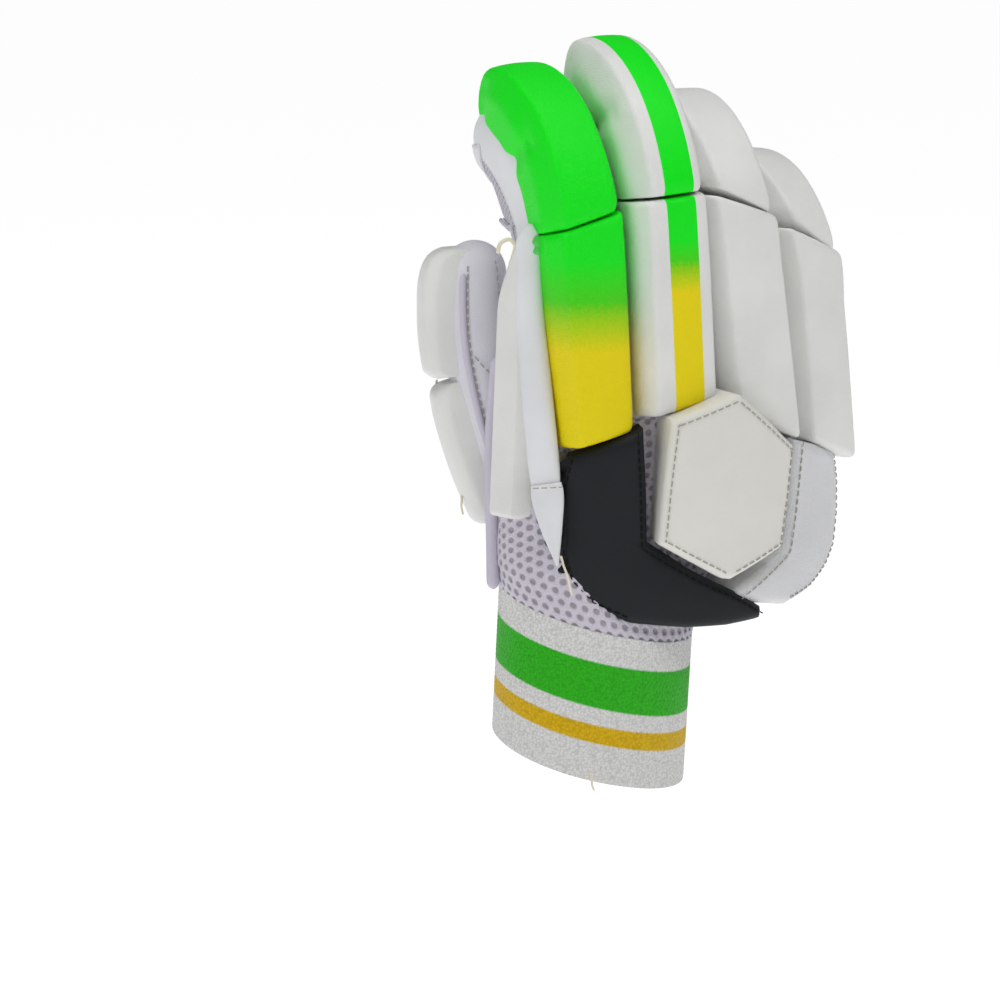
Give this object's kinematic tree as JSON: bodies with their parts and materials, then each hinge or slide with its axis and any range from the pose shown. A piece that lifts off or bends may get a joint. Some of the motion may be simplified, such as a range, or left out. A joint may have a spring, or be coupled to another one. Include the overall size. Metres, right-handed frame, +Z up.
{
  "type": "cricket batting glove",
  "caption": "Padded cricket batting glove for the right hand with segmented finger pads, mesh sleeves, leather palm and knitted cuff.",
  "frame": {"origin": "centre of the cuff's mouth, where the wrist goes in", "axes": "+Z up through the cuff towards the fingertips, -Y out of the back of the hand, +X towards the little finger"},
  "size_m": [0.17, 0.0998, 0.2933],
  "materials": {
    "white_leather": "fine pebbled grain, satin",
    "green_leather": "fine pebbled grain, satin, printed green to yellow",
    "dark_leather": "smooth, satin",
    "palm_hide": "soft smooth hide, matte",
    "spacer_mesh": "open mesh with round holes, matte",
    "cuff_knit": "towelling knit with a green and a yellow band",
    "frill_cloth": "gathered woven cloth, matte",
    "strap_vinyl": "coated webbing, satin",
    "green_print": "raised print, satin",
    "yellow_print": "raised print, satin"
  },
  "bodies": {
    "root": {"cuff": "cuff_knit", "guard_frill": "frill_cloth", "hand_back": "spacer_mesh", "hand_guard": "dark_leather", "heel_leather": "palm_hide", "hexagon_pad": "white_leather", "index_knuckle_pad": "green_leather", "index_mesh_sleeve": "spacer_mesh", "index_side_band": "white_leather", "index_tip_pad": "green_leather", "index_tongue": "palm_hide", "little_knuckle_pad": "white_leather", "little_mesh_sleeve": "spacer_mesh", "little_side_band": "white_leather", "little_tip_pad": "white_leather", "little_tongue": "palm_hide", "middle_knuckle_pad": "white_leather", "middle_mesh_sleeve": "spacer_mesh", "middle_side_band": "white_leather", "middle_tip_pad": "white_leather", "middle_tongue": "palm_hide", "outer_pad": "white_leather", "outer_side": "spacer_mesh", "palm_leather": "palm_hide", "ring_knuckle_pad": "white_leather", "ring_mesh_sleeve": "spacer_mesh", "ring_side_band": "white_leather", "ring_tip_pad": "white_leather", "ring_tongue": "palm_hide", "side_bar": "white_leather", "strap": "strap_vinyl", "strap_anchor": "white_leather", "strap_green_band": "green_print", "strap_yellow_band": "yellow_print", "thumb_base_pad": "white_leather", "thumb_leather": "palm_hide", "thumb_mesh": "spacer_mesh", "thumb_tip_pad": "white_leather", "wrist_mesh": "spacer_mesh"}
  },
  "joints": []
}
